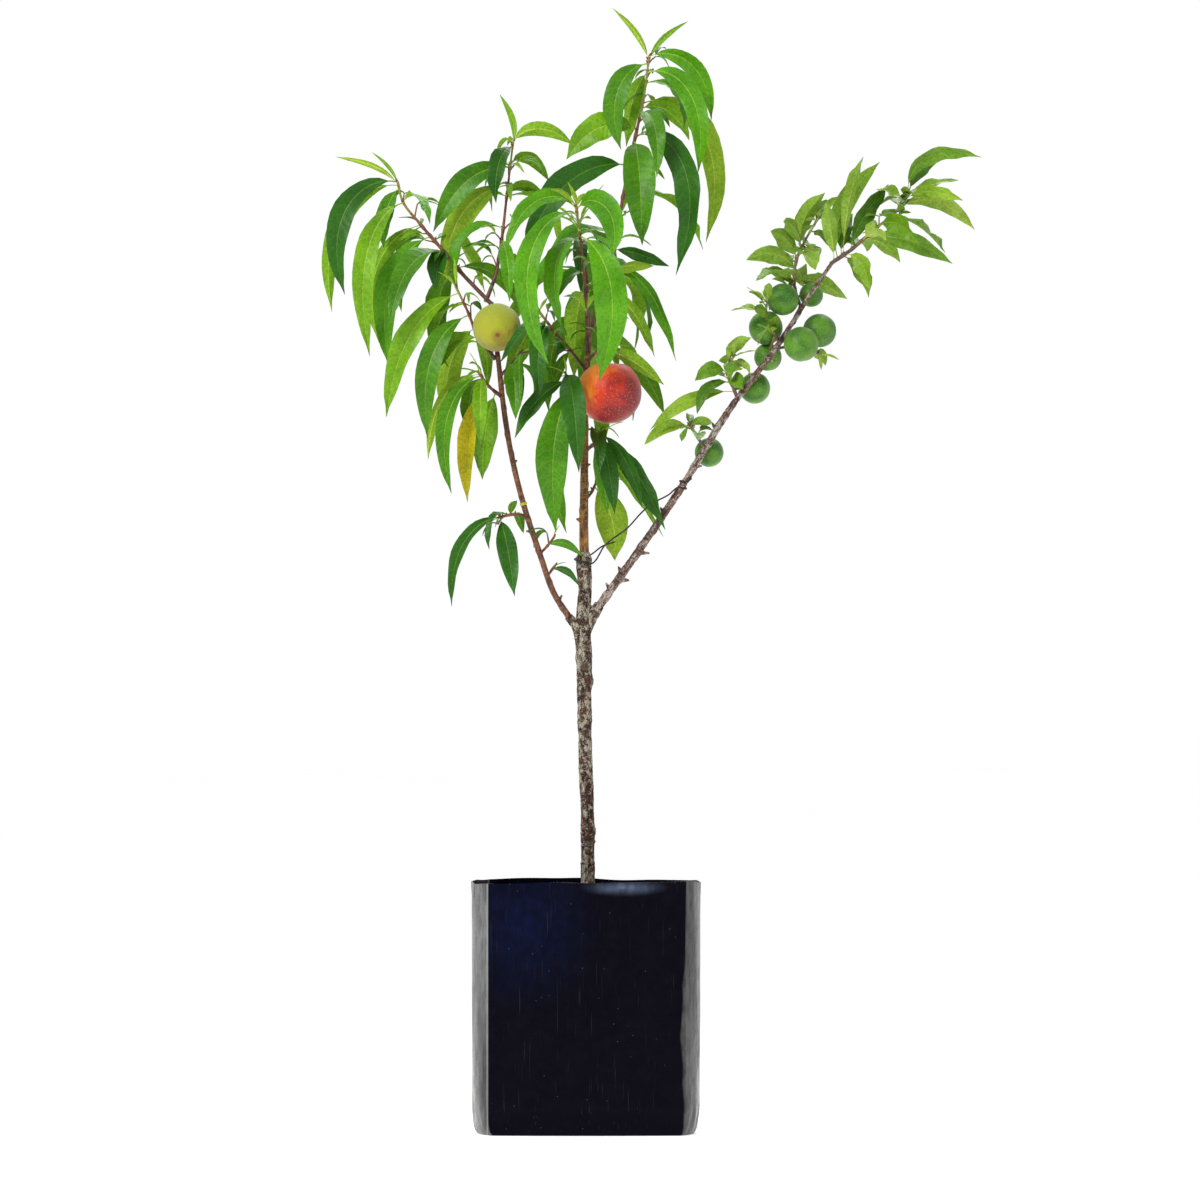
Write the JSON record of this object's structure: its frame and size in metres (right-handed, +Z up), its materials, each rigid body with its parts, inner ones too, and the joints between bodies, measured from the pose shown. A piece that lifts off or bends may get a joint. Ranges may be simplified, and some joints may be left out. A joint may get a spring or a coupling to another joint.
{
  "type": "potted fruit salad tree",
  "caption": "Young grafted fruit tree standing in a planter bag, with peach foliage and plum foliage on separate boughs, each carrying fruit.",
  "frame": {"origin": "centre of the flat underside of the planter bag", "axes": "+Z up the trunk, +X to the right of the front view, -Y towards the front"},
  "size_m": [0.6313, 0.2504, 1.07],
  "materials": {
    "bag": "glossy black polythene film",
    "potting_mix": "moist and crumbly",
    "bark": "rough bark",
    "wire": "dark annealed wire",
    "peach_foliage": "soft sheen",
    "plum_foliage": "matte"
  },
  "bodies": {
    "root": {"planter_bag": "bag", "potting_mix": "potting_mix", "trunk": "bark", "bough_left": "bark", "bough_leader": "bark", "bough_right": "bark", "tie_wire": "wire", "foliage_front": "peach_foliage", "foliage_top": "peach_foliage", "foliage_left_top": "peach_foliage", "foliage_left_fruit": "peach_foliage", "foliage_centre_fruit": "peach_foliage", "foliage_centre_left": "peach_foliage", "foliage_centre_low": "peach_foliage", "foliage_leader_side": "peach_foliage", "foliage_centre_foot": "peach_foliage", "foliage_back": "peach_foliage", "foliage_left_side": "peach_foliage", "foliage_left_inner": "peach_foliage", "foliage_left_low": "peach_foliage", "foliage_left_foot": "peach_foliage", "foliage_left_sprig": "peach_foliage", "foliage_plum_low": "plum_foliage", "foliage_plum_middle": "plum_foliage", "foliage_plum_left": "plum_foliage", "foliage_plum_right": "plum_foliage", "foliage_plum_upper": "plum_foliage", "foliage_plum_tip": "plum_foliage"}
  },
  "joints": []
}
